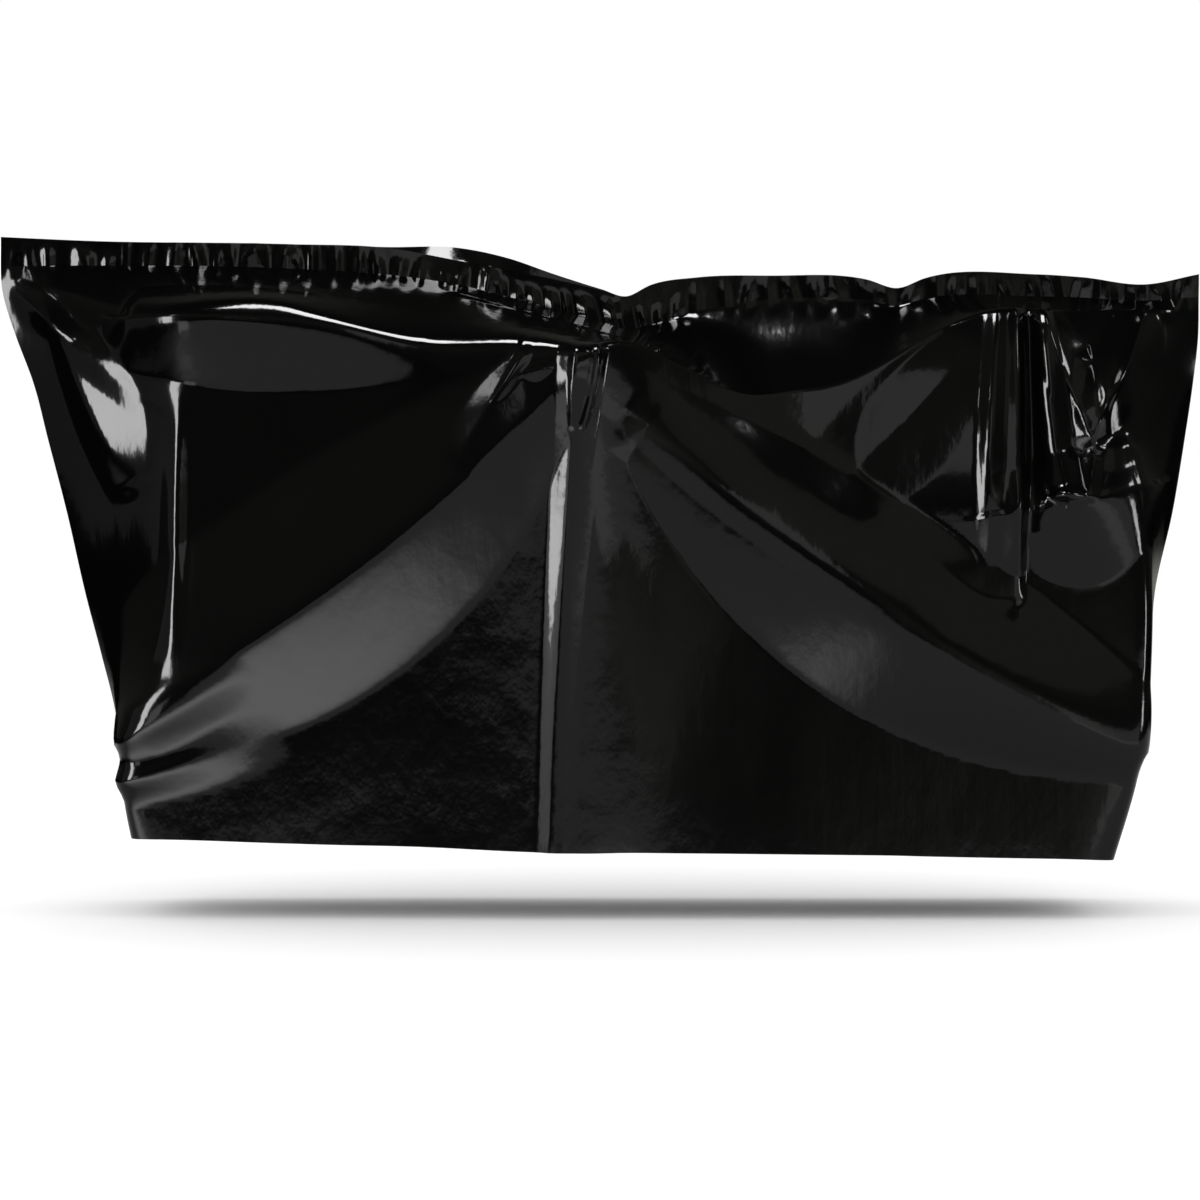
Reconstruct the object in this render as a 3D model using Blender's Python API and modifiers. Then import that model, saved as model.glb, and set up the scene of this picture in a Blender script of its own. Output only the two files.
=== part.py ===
"""Bicycle cover: a bag of thin black film, open at the foot, as it hangs over a tall narrow load.

Two panels lie against each other in the weld along the top and meet at the seam down each end.
X runs along the cover, -Y is its front, +Z is up, and the hem's lowest point is at z = 0. Metres.
"""

from collections import namedtuple

import bmesh
import bpy
import numpy as np

# Driving sizes
SHEET = 0.0012  # thickness of a panel
SEAM_GAP = 0.0008  # between the panels where they lie together
SPLAY = 0.004  # how far each free edge above the weld leans away from the other
CORNER = 14  # squareness of the shoulder where a panel turns round the end of the load
WELD_FADE = 0.035  # below the weld, over which folds grow to their full height
SEAM_FADE = 0.10  # along the film from the end seam, over which folds grow to their full height

# Grid of each panel, and how far apart its columns and rows are, by share of the width and by row
FRONT_ACROSS = 96
BACK_ACROSS = 72
EDGE_ROWS = 2
ROOF_ROWS = 5
FRONT_WALL_ROWS = 22
BACK_WALL_ROWS = 13
COLUMN_SPACING = (
    (0.00, 1.3),
    (0.38, 1.1),
    (0.43, 0.65),
    (0.51, 0.65),
    (0.54, 1.1),
    (0.78, 1.1),
    (0.83, 0.6),
    (0.96, 0.6),
    (1.00, 1.2),
)
ROW_SPACING = ((1.0, 0.8), (1.45, 0.8), (1.6, 1.3), (2.0, 1.5))

# Heights of the panels' lines, a row for each station along the cover
TOP_COLUMNS = ("x", "top", "front_top", "weld")
TOP = (
    (-1.035, 1.071, 1.071, 1.021),
    (-0.867, 1.063, 1.063, 1.021),
    (-0.536, 1.058, 1.058, 1.016),
    (-0.370, 1.054, 1.052, 1.006),
    (-0.249, 1.054, 1.031, 0.989),
    (-0.162, 1.035, 1.013, 0.968),
    (-0.079, 1.006, 0.997, 0.946),
    (0.003, 0.980, 0.978, 0.924),
    (0.045, 0.968, 0.967, 0.911),
    (0.086, 0.987, 0.987, 0.919),
    (0.169, 1.001, 1.001, 0.943),
    (0.294, 1.004, 1.004, 0.963),
    (0.460, 0.997, 0.997, 0.961),
    (0.513, 0.982, 0.982, 0.952),
    (0.560, 0.999, 0.999, 0.964),
    (0.750, 1.006, 1.006, 0.968),
    (0.833, 1.001, 1.001, 0.966),
    (0.940, 0.989, 0.989, 0.961),
    (1.035, 1.007, 1.007, 0.968),
)

# The end seams' places and the way the film turns round the ends, a row for each height
END_COLUMNS = ("z", "left", "right", "left_run", "right_run", "depth")
ENDS = (
    (0.00, -0.798, 0.880, 0.016, 0.016, 0.190),
    (0.15, -0.828, 0.926, 0.025, 0.018, 0.190),
    (0.25, -0.838, 0.945, 0.060, 0.020, 0.190),
    (0.35, -0.862, 0.953, 0.125, 0.022, 0.185),
    (0.45, -0.888, 0.958, 0.165, 0.025, 0.180),
    (0.60, -0.922, 0.990, 0.205, 0.070, 0.175),
    (0.72, -0.953, 1.010, 0.240, 0.110, 0.170),
    (0.82, -0.979, 1.025, 0.268, 0.150, 0.160),
    (0.90, -1.009, 1.034, 0.300, 0.220, 0.140),
    (0.97, -1.031, 1.035, 0.330, 0.400, 0.060),
    (1.08, -1.035, 1.035, 0.330, 0.500, 0.000),
)

# Ridge where the sloping top turns down, and the hem, a row for each station along the cover. round
# is the softness of the ridge, sag bends the slope above it inwards, and belly is extra depth half
# way down the wall.
SECTION_COLUMNS = ("x", "ridge", "ridge_depth", "round", "sag", "belly", "hem", "hem_depth")
FRONT_SECTIONS = (
    (-1.035, 0.990, 0.080, 0.016, 1.0, -0.005, 0.033, 0.190),
    (-0.960, 0.982, 0.100, 0.016, 1.0, -0.005, 0.038, 0.190),
    (-0.790, 0.945, 0.150, 0.018, 1.0, -0.008, 0.045, 0.195),
    (-0.535, 0.948, 0.170, 0.018, 1.0, -0.008, 0.039, 0.200),
    (-0.460, 0.927, 0.185, 0.020, 1.0, -0.008, 0.037, 0.203),
    (-0.310, 0.888, 0.205, 0.026, 1.0, -0.010, 0.034, 0.208),
    (-0.130, 0.887, 0.228, 0.040, 1.0, -0.010, 0.026, 0.215),
    (-0.020, 0.876, 0.238, 0.030, 1.0, -0.006, 0.023, 0.216),
    (0.040, 0.882, 0.200, 0.006, 1.1, -0.004, 0.024, 0.214),
    (0.137, 0.843, 0.165, 0.005, 1.3, -0.008, 0.023, 0.210),
    (0.245, 0.796, 0.140, 0.004, 1.4, -0.010, 0.022, 0.210),
    (0.338, 0.803, 0.130, 0.004, 1.4, -0.010, 0.021, 0.210),
    (0.416, 0.818, 0.130, 0.004, 1.4, -0.010, 0.020, 0.208),
    (0.487, 0.852, 0.128, 0.004, 1.3, -0.010, 0.019, 0.206),
    (0.560, 0.895, 0.120, 0.004, 1.2, -0.010, 0.017, 0.204),
    (0.650, 0.935, 0.110, 0.006, 1.0, -0.010, 0.015, 0.202),
    (0.800, 0.940, 0.105, 0.006, 1.0, -0.010, 0.012, 0.200),
    (1.035, 0.945, 0.060, 0.012, 1.0, -0.005, 0.000, 0.190),
)
BACK_SECTIONS = (
    (-1.035, 0.935, 0.130, 0.016, 1.0, 0.000, 0.033, 0.190),
    (-0.790, 0.940, 0.150, 0.016, 1.0, -0.005, 0.036, 0.190),
    (-0.530, 0.932, 0.195, 0.012, 1.0, -0.010, 0.034, 0.205),
    (-0.300, 0.905, 0.252, 0.008, 1.1, -0.012, 0.030, 0.214),
    (-0.100, 0.885, 0.215, 0.008, 1.3, -0.010, 0.028, 0.212),
    (0.100, 0.855, 0.190, 0.008, 1.7, -0.010, 0.027, 0.208),
    (0.300, 0.845, 0.185, 0.008, 1.7, -0.010, 0.025, 0.206),
    (0.500, 0.870, 0.160, 0.008, 1.5, -0.010, 0.022, 0.203),
    (0.650, 0.915, 0.100, 0.010, 1.2, -0.010, 0.018, 0.200),
    (0.850, 0.930, 0.060, 0.012, 1.0, -0.008, 0.010, 0.195),
    (1.035, 0.935, 0.060, 0.012, 1.0, -0.005, 0.000, 0.190),
)

# Slow wander of the top line to the front and back, a row for each station along the cover
SWAY_COLUMNS = ("x", "sway")
SWAY = (
    (-1.035, 0.010),
    (-0.750, -0.006),
    (-0.400, 0.006),
    (-0.050, -0.008),
    (0.250, 0.005),
    (0.600, -0.006),
    (1.035, 0.012),
)
SWAY_FADE = 0.45  # height over which the wander dies away below the weld

# A fold is a ridge, or with a negative height a trough, seen from in front of its panel. It runs left
# to right or upwards between two places (x, z). height, above and below are triples for its start,
# middle and end: how far it stands out, and how wide its two sides are. For an upward fold, above is
# the left side. bow lifts its middle to the above side: point is 2 for an even arc and nearer 1 for
# one bent at its middle. crest is the roundness of its top and foot the softness of its sides' ends.
Fold = namedtuple(
    "Fold", "name start end bow height above below crest foot point", defaults=(0.15, 2.0)
)
FRONT_FOLDS = (
    Fold("bar", (-0.775, 0.925), (-0.300, 0.886), 0.012, (0.028, 0.022, 0.003),
         (0.05, 0.05, 0.04), (0.09, 0.115, 0.06), 0.008, 0.05),
    Fold("band", (-0.80, 0.255), (-0.055, 0.825), -0.045, (0.016, 0.040, 0.004),
         (0.14, 0.20, 0.05), (0.09, 0.17, 0.04), 0.010, 0.08),
    Fold("low_left", (-0.80, 0.205), (-0.585, 0.335), 0.0, (0.014, 0.010, 0.0),
         (0.05, 0.06, 0.03), (0.04, 0.05, 0.03), 0.004),
    Fold("hem_left", (-0.803, 0.140), (-0.52, 0.232), 0.0, (0.014, 0.008, 0.0),
         (0.04, 0.05, 0.03), (0.03, 0.05, 0.04), 0.004),
    Fold("pleat", (-0.079, 0.023), (-0.030, 0.860), 0.006, (0.008, 0.010, 0.018),
         (0.028, 0.028, 0.035), (0.035, 0.030, 0.035), 0.006),
    Fold("short_crease", (-0.235, 0.670), (-0.124, 0.856), 0.008, (0.0, 0.008, 0.005),
         (0.04, 0.04, 0.02), (0.03, 0.06, 0.04), 0.003),
    Fold("long_tension", (0.02, 0.865), (0.62, 0.440), -0.020, (0.003, 0.012, 0.0),
         (0.03, 0.08, 0.05), (0.06, 0.08, 0.05), 0.030),
    Fold("right_tension", (0.08, 0.74), (0.907, 0.192), -0.036, (0.002, 0.036, 0.010),
         (0.06, 0.15, 0.08), (0.05, 0.155, 0.03), 0.025, 0.04),
    Fold("bunch_left", (0.702, 0.450), (0.704, 0.950), 0.0, (0.006, 0.044, 0.010),
         (0.05, 0.27, 0.04), (0.024, 0.030, 0.022), 0.008, 0.02),
    Fold("valley", (0.380, 0.615), (0.600, 0.840), 0.0, (-0.004, -0.009, -0.004),
         (0.06, 0.09, 0.06), (0.06, 0.10, 0.06), 0.004, 0.05),
    Fold("tube", (0.650, 0.500), (0.672, 0.940), 0.008, (0.0, 0.013, 0.008),
         (0.016, 0.020, 0.016), (0.020, 0.026, 0.018), 0.004),
    Fold("roll", (0.782, 0.625), (0.748, 0.950), 0.004, (0.014, 0.020, 0.006),
         (0.020, 0.022, 0.010), (0.030, 0.030, 0.014), 0.008, 0.10),
    Fold("vee_left", (0.826, 0.722), (0.745, 0.955), 0.016, (0.012, 0.018, 0.006),
         (0.03, 0.035, 0.02), (0.04, 0.050, 0.03), 0.003, 0.10),
    Fold("vee_right", (0.828, 0.722), (0.940, 0.955), 0.016, (0.012, 0.018, 0.006),
         (0.04, 0.050, 0.04), (0.03, 0.060, 0.04), 0.003, 0.10),
    Fold("swag", (0.725, 0.600), (0.905, 0.640), -0.004, (0.014, 0.036, 0.014),
         (0.06, 0.08, 0.06), (0.10, 0.145, 0.10), 0.008, 0.03),
    Fold("cone", (-0.832, 0.600), (-0.940, 0.930), -0.004, (0.0, 0.027, 0.004),
         (0.06, 0.05, 0.03), (0.050, 0.062, 0.02), 0.005, 0.05),
    Fold("ear_upper", (-0.955, 0.935), (-0.760, 0.760), 0.005, (0.004, 0.014, 0.004),
         (0.03, 0.10, 0.10), (0.02, 0.03, 0.03), 0.006),
)
BACK_FOLDS = (
    Fold("bar", (-0.86, 0.935), (-0.34, 0.908), 0.010, (0.006, 0.018, 0.010),
         (0.05, 0.05, 0.04), (0.07, 0.10, 0.06), 0.006),
    Fold("pleat", (-0.280, 0.030), (-0.305, 0.890), 0.010, (0.006, 0.012, 0.014),
         (0.035, 0.035, 0.035), (0.035, 0.035, 0.035), 0.006),
    Fold("left_tension", (-0.81, 0.330), (-0.330, 0.860), -0.030, (0.010, 0.026, 0.004),
         (0.10, 0.12, 0.04), (0.08, 0.12, 0.04), 0.010),
    Fold("right_tension", (-0.270, 0.860), (0.80, 0.240), -0.070, (0.004, 0.034, 0.010),
         (0.04, 0.18, 0.10), (0.04, 0.16, 0.08), 0.012),
    Fold("middle_tension", (-0.255, 0.790), (0.320, 0.150), -0.040, (0.002, 0.020, 0.004),
         (0.03, 0.10, 0.08), (0.03, 0.09, 0.06), 0.010),
    Fold("bunch_left", (0.560, 0.480), (0.600, 0.920), 0.0, (0.0, 0.022, 0.010),
         (0.06, 0.05, 0.04), (0.04, 0.04, 0.03), 0.008),
    Fold("bunch_right", (0.790, 0.420), (0.740, 0.930), 0.010, (0.0, 0.022, 0.010),
         (0.05, 0.05, 0.04), (0.06, 0.05, 0.04), 0.008),
    Fold("hem_right", (0.45, 0.160), (0.90, 0.130), 0.020, (0.0, 0.012, 0.012),
         (0.05, 0.06, 0.06), (0.05, 0.06, 0.05), 0.008),
)


def curve(at, table, columns, name, key):
    """The named column's value at each place, on a smooth curve through the table's rows."""
    rows = np.array(table)
    xs = rows[:, columns.index(key)]
    ys = rows[:, columns.index(name)]
    slopes = np.gradient(ys, xs)
    low = np.clip(np.searchsorted(xs, at) - 1, 0, len(xs) - 2)
    step = xs[low + 1] - xs[low]
    t = np.clip((at - xs[low]) / step, 0, 1)
    start = (1 + 2 * t) * (1 - t) ** 2 * ys[low] + t * (1 - t) ** 2 * step * slopes[low]
    return start + t * t * (3 - 2 * t) * ys[low + 1] + t * t * (t - 1) * step * slopes[low + 1]


def smooth_step(value):
    t = np.clip(value, 0, 1)
    return t * t * (3 - 2 * t)


def soft_least(a, b, softness):
    """The lesser of two surfaces, rounded where they cross."""
    return 0.5 * (a + b - np.sqrt((a - b) ** 2 + softness**2))


def height_at(x, row, top_name, sections):
    """z of a row: -1 is the free top edge, 0 the weld, 1 the ridge and 2 the hem."""
    top = curve(x, TOP, TOP_COLUMNS, top_name, "x")
    weld = curve(x, TOP, TOP_COLUMNS, "weld", "x")
    ridge = curve(x, sections, SECTION_COLUMNS, "ridge", "x")
    hem = curve(x, sections, SECTION_COLUMNS, "hem", "x")
    edge = weld + (top - weld) * np.clip(-row, 0, 1)
    roof = weld + (ridge - weld) * np.clip(row, 0, 1)
    wall = ridge + (hem - ridge) * np.clip(row - 1, 0, 1)
    return np.where(row < 0, edge, np.where(row < 1, roof, wall))


def along_film(share, z):
    """x at this share of the film's width, and the rise from the end seams to the full depth."""
    left, right, left_run, right_run, depth = (
        curve(z, ENDS, END_COLUMNS, name, "z") for name in END_COLUMNS[1:]
    )
    left_film = np.hypot(left_run, depth)
    right_film = np.hypot(right_run, depth)
    width = right - left + (left_film - left_run) + (right_film - right_run)
    film = share * width
    left_rise = (film / left_film) / (1 + (film / left_film) ** CORNER) ** (1 / CORNER)
    rest = (width - film) / right_film
    right_rise = rest / (1 + rest**CORNER) ** (1 / CORNER)
    taken = (left_film - left_run) * left_rise + (right_film - right_run) * (1 - right_rise)
    return left + film - taken, left_rise * right_rise, np.minimum(film, width - film)


def depth_at(x, z, sections):
    """How far the wall or the sloping top stands out from the middle plane, away from the ends."""
    weld = curve(x, TOP, TOP_COLUMNS, "weld", "x")
    ridge, ridge_depth, rounding, sag, belly, hem, hem_depth = (
        curve(x, sections, SECTION_COLUMNS, name, "x") for name in SECTION_COLUMNS[1:]
    )
    down = (ridge - z) / (ridge - hem)
    wall = ridge_depth + (hem_depth - ridge_depth) * down * (2 - down) + 4 * belly * down * (1 - down)
    slope = np.maximum(weld - z, 0) / (weld - ridge)
    roof = ridge_depth * np.where(slope < 1, slope**sag, 1 + sag * (slope - 1))
    return np.maximum(soft_least(wall, roof, rounding), 0)


def triple(values, share):
    """A smooth change through the values at the start, the middle and the end."""
    start, middle, end = values
    first = start * (1 - share) * (1 - 2 * share)
    return first + 4 * middle * share * (1 - share) + end * share * (2 * share - 1)


def fold_height(fold, x, z):
    start = np.array(fold.start)
    span = np.array(fold.end) - start
    length = np.hypot(*span)
    along = ((x - start[0]) * span[0] + (z - start[1]) * span[1]) / length
    aside = ((z - start[1]) * span[0] - (x - start[0]) * span[1]) / length
    share = np.clip(along / length, 0, 1)
    from_middle = np.abs(2 * share - 1)
    slant = 2 * fold.bow * fold.point * from_middle ** (fold.point - 1) / length
    aside = (aside - fold.bow * (1 - from_middle**fold.point)) / np.hypot(1, slant)
    width = np.where(aside > 0, triple(fold.above, share), triple(fold.below, share))
    beyond = np.maximum(along - length, -along) / width
    rounded = np.sqrt(aside**2 + fold.crest**2) - fold.crest
    rise = np.clip(1 - rounded / width, 0, 1) * (1 - smooth_step(beyond))
    return triple(fold.height, share) * rise * rise * (1 + fold.foot) / (rise + fold.foot)


def spaced(first, last, count, spacing):
    """count steps from first to last, each as long as the spacing table says for its place."""
    places, lengths = np.array(spacing).T
    fine = np.linspace(first, last, 40 * count)
    passed = np.cumsum(1 / np.interp(fine, places, lengths))
    steps = np.linspace(passed[0], passed[-1], count + 1)
    return np.interp(steps, passed, fine)


def panel_points(side, top_name, sections, folds, across, rows):
    """Places of a panel's inner face, an array of rows by columns by x, y, z. side is -1 in front."""
    share, row = np.meshgrid(spaced(0, 1, across, COLUMN_SPACING), rows)
    x = (share - 0.5) * 2
    for _ in range(6):
        z = height_at(x, row, top_name, sections)
        x, rise, from_seam = along_film(share, z)
    depth = depth_at(x, z, sections) * rise
    run_x = np.gradient(x, axis=1)
    run_depth = np.gradient(depth, axis=1)
    run = np.hypot(run_x, run_depth)
    weld = curve(x, TOP, TOP_COLUMNS, "weld", "x")
    lift = sum(fold_height(fold, x, z) for fold in folds)
    lift = lift * smooth_step((weld - z) / WELD_FADE) * smooth_step(from_seam / SEAM_FADE)
    x = x - lift * run_depth / run
    depth = np.maximum(depth + lift * run_x / run, 0)
    depth = depth + SEAM_GAP / 2 + SPLAY * np.clip(-row, 0, 1)
    sway = curve(x, SWAY, SWAY_COLUMNS, "sway", "x") * smooth_step(1 - (weld - z) / SWAY_FADE)
    return np.stack([x, side * depth + sway, z], axis=-1)


def grid_rows(wall_rows):
    edge = np.linspace(-1, 0, EDGE_ROWS + 1)
    roof = np.linspace(0, 1, ROOF_ROWS + 1)[1:]
    wall = spaced(1, 2, wall_rows, ROW_SPACING)[1:]
    return np.concatenate([edge, roof, wall])


def film_material(name, colour, roughness):
    material = bpy.data.materials.new(name)
    material.use_nodes = True
    shader = material.node_tree.nodes["Principled BSDF"]
    shader.inputs["Base Color"].default_value = (*colour, 1)
    shader.inputs["Roughness"].default_value = roughness
    shader.inputs["Metallic"].default_value = 0
    return material


def make_panel(name, side, points, material, collection):
    """A closed sheet: a grid laid on the panel's inner face and thickened away from the hollow."""
    down, across = points.shape[0] - 1, points.shape[1] - 1
    grid = bmesh.new()
    bmesh.ops.create_grid(grid, x_segments=across, y_segments=down, size=1)
    for vertex in grid.verts:
        column = round((vertex.co.x + 1) / 2 * across)
        row = round((1 - vertex.co.y) / 2 * down)
        vertex.co = points[row, column]
    if side > 0:
        bmesh.ops.reverse_faces(grid, faces=grid.faces)
    mesh = bpy.data.meshes.new(name)
    grid.to_mesh(mesh)
    grid.free()
    mesh.shade_smooth()
    mesh.materials.append(material)
    panel = bpy.data.objects.new(name, mesh)
    collection.objects.link(panel)
    thicken = panel.modifiers.new("sheet", "SOLIDIFY")
    thicken.thickness = SHEET
    thicken.offset = 1
    return panel


def main():
    for old in list(bpy.data.objects):
        bpy.data.objects.remove(old, do_unlink=True)
    cover = bpy.data.collections.new("bicycle_cover")
    bpy.context.scene.collection.children.link(cover)
    front = panel_points(
        -1, "front_top", FRONT_SECTIONS, FRONT_FOLDS, FRONT_ACROSS, grid_rows(FRONT_WALL_ROWS)
    )
    back = panel_points(
        1, "top", BACK_SECTIONS, BACK_FOLDS, BACK_ACROSS, grid_rows(BACK_WALL_ROWS)
    )
    make_panel("front_panel", -1, front, film_material("front_film", (0.012, 0.012, 0.013), 0.14), cover)
    make_panel("back_panel", 1, back, film_material("back_film", (0.013, 0.013, 0.012), 0.16), cover)


main()
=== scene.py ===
"""Looks of the bicycle cover: both film panels as fine sheets with their creases, and the studio.

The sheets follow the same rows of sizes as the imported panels, in the same frame: X runs along the
cover, -Y is its front, +Z is up. Metres.
"""

from collections import namedtuple

import bmesh
import bpy
import numpy as np

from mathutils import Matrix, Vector


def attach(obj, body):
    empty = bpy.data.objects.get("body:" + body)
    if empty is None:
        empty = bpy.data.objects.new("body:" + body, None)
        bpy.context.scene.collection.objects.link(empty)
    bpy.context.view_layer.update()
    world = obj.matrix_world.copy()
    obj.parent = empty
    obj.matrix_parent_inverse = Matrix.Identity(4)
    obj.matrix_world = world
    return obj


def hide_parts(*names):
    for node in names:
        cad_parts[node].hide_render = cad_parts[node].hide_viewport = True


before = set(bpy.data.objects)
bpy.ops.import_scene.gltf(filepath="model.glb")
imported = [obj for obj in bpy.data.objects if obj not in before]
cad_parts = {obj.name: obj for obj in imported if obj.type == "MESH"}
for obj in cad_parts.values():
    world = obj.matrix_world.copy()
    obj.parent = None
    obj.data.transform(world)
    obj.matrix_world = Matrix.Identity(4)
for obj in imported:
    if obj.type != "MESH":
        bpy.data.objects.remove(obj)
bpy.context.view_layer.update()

# Sizes of the panels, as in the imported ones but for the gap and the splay, which are the film's
SEAM_GAP = 0.0002  # between the panels where they lie together
SPLAY = 0.0015  # how far each free edge above the weld leans away from the other
CORNER = 14  # squareness of the shoulder where a panel turns round the end of the load
WELD_FADE = 0.035  # below the weld, over which folds grow to their full height
SEAM_FADE = 0.10  # along the film from the end seam, over which folds grow to their full height
LIP = (0.10, 0.60)  # x from and to which the ridge is sharp, over the pocket
FLARE_X = -0.27  # where the free edges lean back, beside the dip in the top line
FLARES = {-1: (0.060, 0.010), 1: (0.085, 0.032)}  # their spread and lean, by the panel's side

# Film
FILM_COLOUR = (0.0011, 0.0011, 0.0011)
FILM_IOR = 1.52
FILM_ROUGHNESS = 0.10
UNEVENNESS = (0.7, 1.3)  # least and greatest share of the roughness
Relief = namedtuple("Relief", "scale detail stretch strength depth")
RUMPLES = Relief(14, 4, (1, 1, 0.7), 0.28, 0.004)
STREAKS = Relief(60, 3, (1, 1, 0.05), 0.25, 0.0006)

# Studio
FLOOR_Z = -0.09
FLOOR_SIZE = 16.0
FLOOR_BACK = 3.4  # how far it reaches behind the cover
FLOOR_TONE = (0.90, 0.90, 0.90, 1)
FLOOR_ROUGHNESS = 0.5
CAMERA_DISTANCE = 7.0
CAMERA_Z = 0.60
SENSOR_WIDTH = 36  # millimetres
FRAME_WIDTH = 2.0736  # of the picture, at the end seams' plane
FRAME_MIDDLE_Z = 0.444
DARK = (0, 0, 0, 1)
WHITE = (1.0, 1.0, 1.0)
WARM = (1.0, 0.99, 0.86)
LIGHTS_AIM = (0.0, 0.0, 0.6)  # the place that every softbox faces
# Softboxes: name, place, width and height, how bright they look from in front, and their tint
SOFTBOXES = (
    ("overhead", (-0.30, -0.62, 2.6), (0.75, 0.75), 18, WHITE),
    ("overhead_right", (1.30, -0.9, 2.6), (0.30, 0.8), 4, WHITE),
    ("left", (-3.9, -3.1, 1.12), (1.0, 2.2), 10, WHITE),
    ("left_fill", (-4.2, -1.9, 0.7), (4.2, 1.8), 0.12, WHITE),
    ("right", (3.4, -1.2, 0.62), (0.35, 0.40), 8, WHITE),
    ("right_fill", (3.4, -3.6, 0.35), (3.4, 0.9), 0.4, WHITE),
    ("front_panel", (-0.05, -4.4, 1.9), (1.3, 1.5), 0.5, WHITE),
    ("upper_right", (1.8, -3.5, 2.7), (3.0, 2.2), 0.10, WARM),
    ("upper_right_middle", (1.8, -3.5, 2.7), (2.3, 1.6), 0.10, WARM),
    ("upper_right_core", (1.8, -3.5, 2.7), (1.6, 1.0), 0.10, WARM),
    ("right_high", (3.67, -1.0, 2.4), (0.5, 0.5), 9, WHITE),
    ("left_low", (-2.0, -2.5, 0.25), (0.60, 0.5), 1.1, WHITE),
    ("left_high", (-3.9, -3.4, 3.5), (0.5, 0.5), 5, WHITE),
)
# How bright the room is in the film's reflections, by the height of the direction (its sine)
ROOM_LEVELS = (
    (0.03, 0.030),
    (0.12, 0.025),
    (0.22, 0.035),
    (0.42, 0.07),
    (0.60, 0.06),
    (0.75, 0.02),
)
ROOM_TINT = (1.0, 0.99, 0.90)
# How much brighter it is low down on the right, by the direction's x, where 0 is left, 0.5 ahead
# and 1 right, as shares of SIDE_LIGHT. That dies away up to the height SIDE_TOP.
SIDE_LEVELS = ((0.50, 0.0), (0.56, 0.3), (0.61, 1.0), (0.67, 0.8), (0.75, 0.0))
SIDE_LIGHT = 0.22
SIDE_TOP = 0.22
DAYLIGHT = 1.35  # of the white surroundings, on the floor
# Painted reflection: the floor's colour as the film mirrors it is set far darker than the camera
# sees it, and fades to black towards the far left
FLOOR_PAINTED_REFLECTION = 0.27  # tone of the floor in the film's reflections
PAINTED_REFLECTION_LEFT = (-3.0, -2.2)  # x from and to which it grows from nothing
# Painted glow: the floor near the cover emits light, seen only in the film's reflections, by the
# distance in front of the end seams' plane. It grows over PAINTED_GLOW_LEFT's x and fades over
# PAINTED_GLOW_RIGHT's.
PAINTED_GLOW_LEVELS = (
    (0.4, 0.0),
    (1.0, 2.0),
    (1.2, 1.8),
    (1.5, 1.35),
    (1.9, 0.65),
    (2.3, 0.06),
    (2.8, 0.0),
)
PAINTED_GLOW_REACH = 4.0  # the distance at the end of the ramp that holds these levels
PAINTED_GLOW_LEFT = (-2.4, -1.7)
PAINTED_GLOW_RIGHT = (0.0, 0.30)

# Grid of each sheet: its columns, and its rows in the free edge, the sloping top and the wall. The
# spacings say how far apart they are in relation to one another, by share of the width and by row.
ACROSS = 472
EDGE_ROWS = 12
ROOF_ROWS = 40
WALL_ROWS = 154
COLUMN_SPACING = (
    (0.00, 1.3),
    (0.37, 1.2),
    (0.43, 0.55),
    (0.51, 0.55),
    (0.54, 1.3),
    (0.78, 1.3),
    (0.83, 0.5),
    (0.96, 0.5),
    (1.00, 1.2),
)
ROW_SPACING = ((1.0, 0.65), (1.45, 0.65), (1.6, 1.4), (2.0, 2.0))
SPACING_SAMPLES = 40  # to a step, to measure the spacings along the sheet
SETTLING_ROUNDS = 6  # in which x and z of each point settle on each other

# Heights of the panels' lines, a row for each station along the cover
TOP_COLUMNS = ("x", "top", "front_top", "weld")
TOP = (
    (-1.035, 1.071, 1.071, 1.021),
    (-0.867, 1.063, 1.063, 1.021),
    (-0.536, 1.058, 1.058, 1.016),
    (-0.370, 1.054, 1.052, 1.006),
    (-0.249, 1.054, 1.031, 0.989),
    (-0.162, 1.035, 1.013, 0.968),
    (-0.079, 1.006, 0.997, 0.946),
    (0.003, 0.980, 0.978, 0.924),
    (0.045, 0.968, 0.967, 0.911),
    (0.086, 0.987, 0.987, 0.919),
    (0.169, 1.001, 1.001, 0.943),
    (0.294, 1.004, 1.004, 0.963),
    (0.460, 0.997, 0.997, 0.961),
    (0.513, 0.982, 0.982, 0.952),
    (0.560, 0.999, 0.999, 0.964),
    (0.750, 1.006, 1.006, 0.968),
    (0.833, 1.001, 1.001, 0.966),
    (0.940, 0.989, 0.989, 0.961),
    (1.035, 1.007, 1.007, 0.968),
)

# The end seams' places and the way the film turns round the ends, a row for each height
END_COLUMNS = ("z", "left", "right", "left_run", "right_run", "depth")
ENDS = (
    (0.00, -0.798, 0.880, 0.016, 0.016, 0.190),
    (0.15, -0.828, 0.926, 0.025, 0.018, 0.190),
    (0.25, -0.838, 0.945, 0.060, 0.020, 0.190),
    (0.35, -0.862, 0.953, 0.125, 0.022, 0.185),
    (0.45, -0.888, 0.958, 0.165, 0.025, 0.180),
    (0.60, -0.922, 0.990, 0.205, 0.070, 0.175),
    (0.72, -0.953, 1.010, 0.240, 0.110, 0.170),
    (0.82, -0.979, 1.025, 0.268, 0.150, 0.160),
    (0.90, -1.009, 1.034, 0.300, 0.220, 0.140),
    (0.97, -1.031, 1.035, 0.330, 0.400, 0.060),
    (1.08, -1.035, 1.035, 0.330, 0.500, 0.000),
)

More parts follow.
